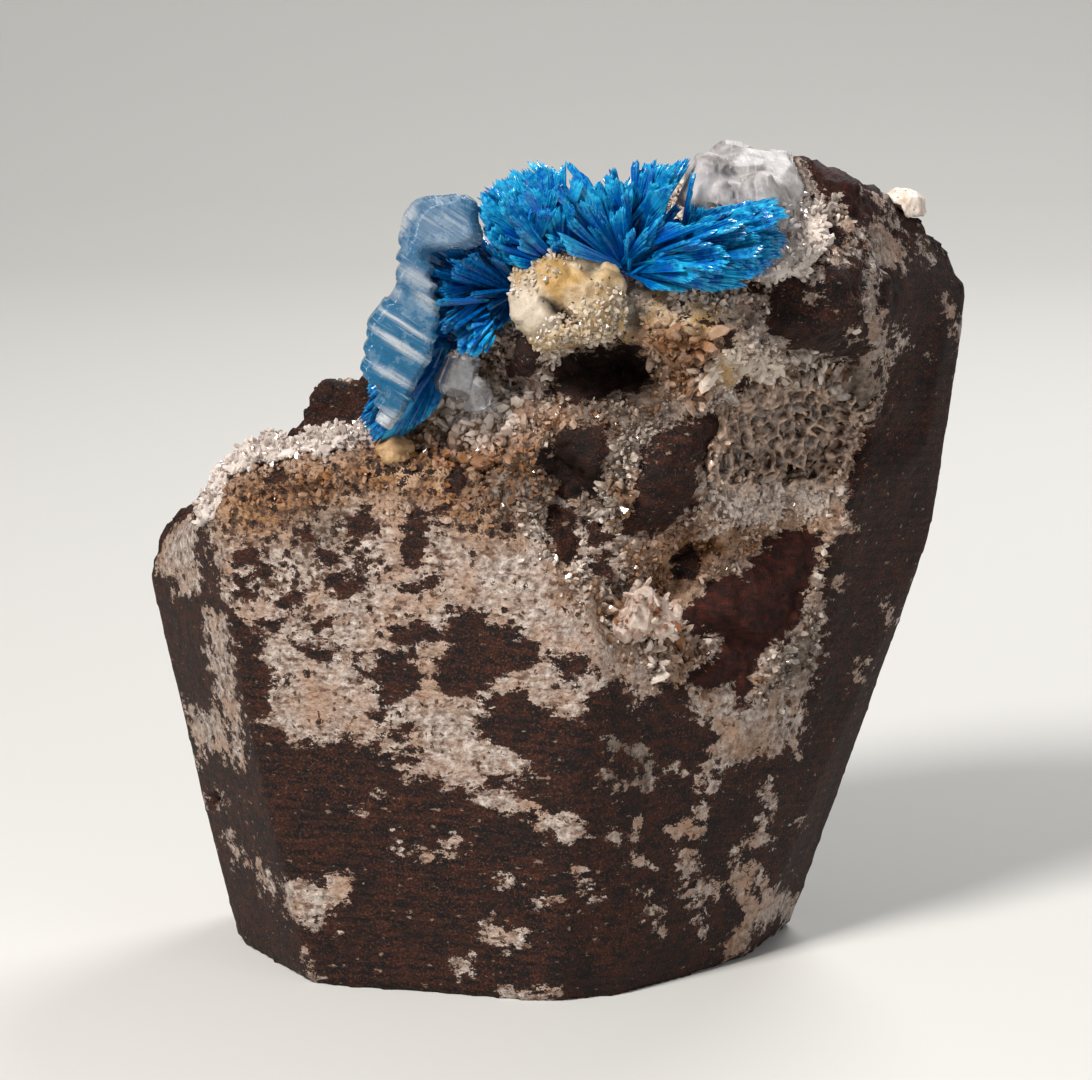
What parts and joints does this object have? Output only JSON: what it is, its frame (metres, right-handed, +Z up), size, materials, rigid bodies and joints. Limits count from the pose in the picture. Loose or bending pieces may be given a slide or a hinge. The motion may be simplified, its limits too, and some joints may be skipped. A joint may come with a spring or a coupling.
{
  "type": "mineral specimen",
  "caption": "Cavansite cluster: radiating blue blades and clear zeolite crystals on a trimmed block of brown basalt breccia that stands on its sawn foot.",
  "frame": {"origin": "on the ground under the middle of the specimen's outline", "axes": "+Z up from the sawn foot, -Y towards the side that carries the crystals, +X to that side's right"},
  "size_m": [0.0586, 0.038, 0.0586],
  "materials": {
    "basalt": "rough broken and fine sawn stone",
    "white_druse": "sparkling crust of small crystals",
    "grey_druse": "sparkling crust of clear grey crystals",
    "milky_zeolite": "milky crystal faces",
    "cream_stilbite": "waxy",
    "clear_stilbite": "clear to milky, pearly",
    "clear_heulandite": "clear, slightly grey",
    "peach_heulandite": "pearly crystal faces",
    "yellow_calcite": "dull",
    "cavansite": "silky radiating blades"
  },
  "bodies": {
    "root": {"basalt_matrix": "basalt", "ledge_druse": "white_druse", "pocket_druse": "grey_druse", "crest_druse": "white_druse", "top_zeolite": "milky_zeolite", "white_knob": "milky_zeolite", "cream_stilbite_ball": "cream_stilbite", "stilbite_sheaf": "clear_stilbite", "heulandite_crystal": "clear_heulandite", "peach_crystals": "peach_heulandite", "yellow_knob": "yellow_calcite", "cavansite_rosette": "cavansite", "cavansite_left_spray": "cavansite", "cavansite_lower_spray": "cavansite", "cavansite_tuft": "cavansite"}
  },
  "joints": []
}
